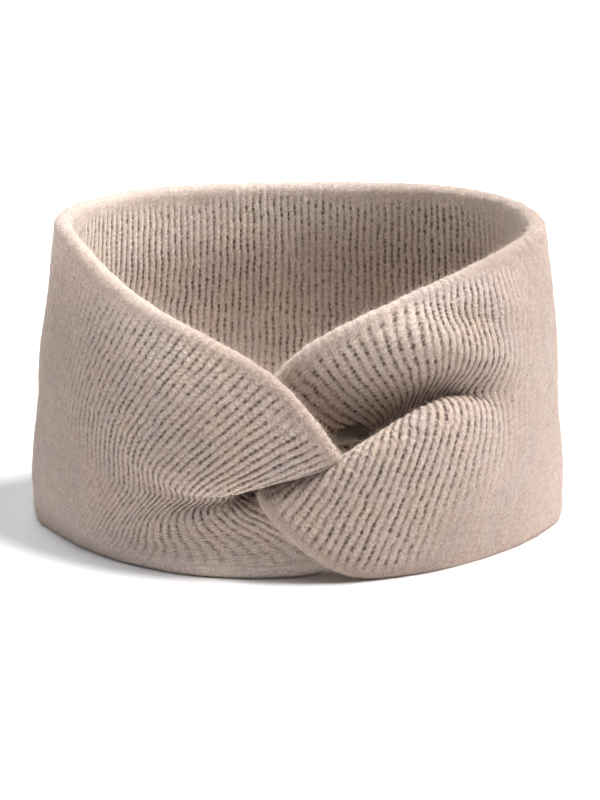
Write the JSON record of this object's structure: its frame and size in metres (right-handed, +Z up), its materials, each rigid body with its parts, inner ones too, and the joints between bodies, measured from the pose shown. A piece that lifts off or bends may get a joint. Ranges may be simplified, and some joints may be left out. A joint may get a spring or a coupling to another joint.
{
  "type": "ear warmer headband",
  "caption": "Wide felted knit ear warmer headband: a thick soft loop standing on its edge, tapering upwards, with a folded, interlocked twist at the front.",
  "frame": {"origin": "middle of the footprint on the surface that the band stands on", "axes": "+X towards the viewer's right, the band's long way; the twist faces -Y; +Z up"},
  "size_m": [0.2, 0.1394, 0.1158],
  "materials": {
    "felted_knit": "felted wool knit, matt and fuzzy",
    "seam_knit": "sewn wool knit, matt"
  },
  "bodies": {
    "root": {"knit_band": "felted_knit", "twist_seam": "seam_knit"}
  },
  "joints": []
}
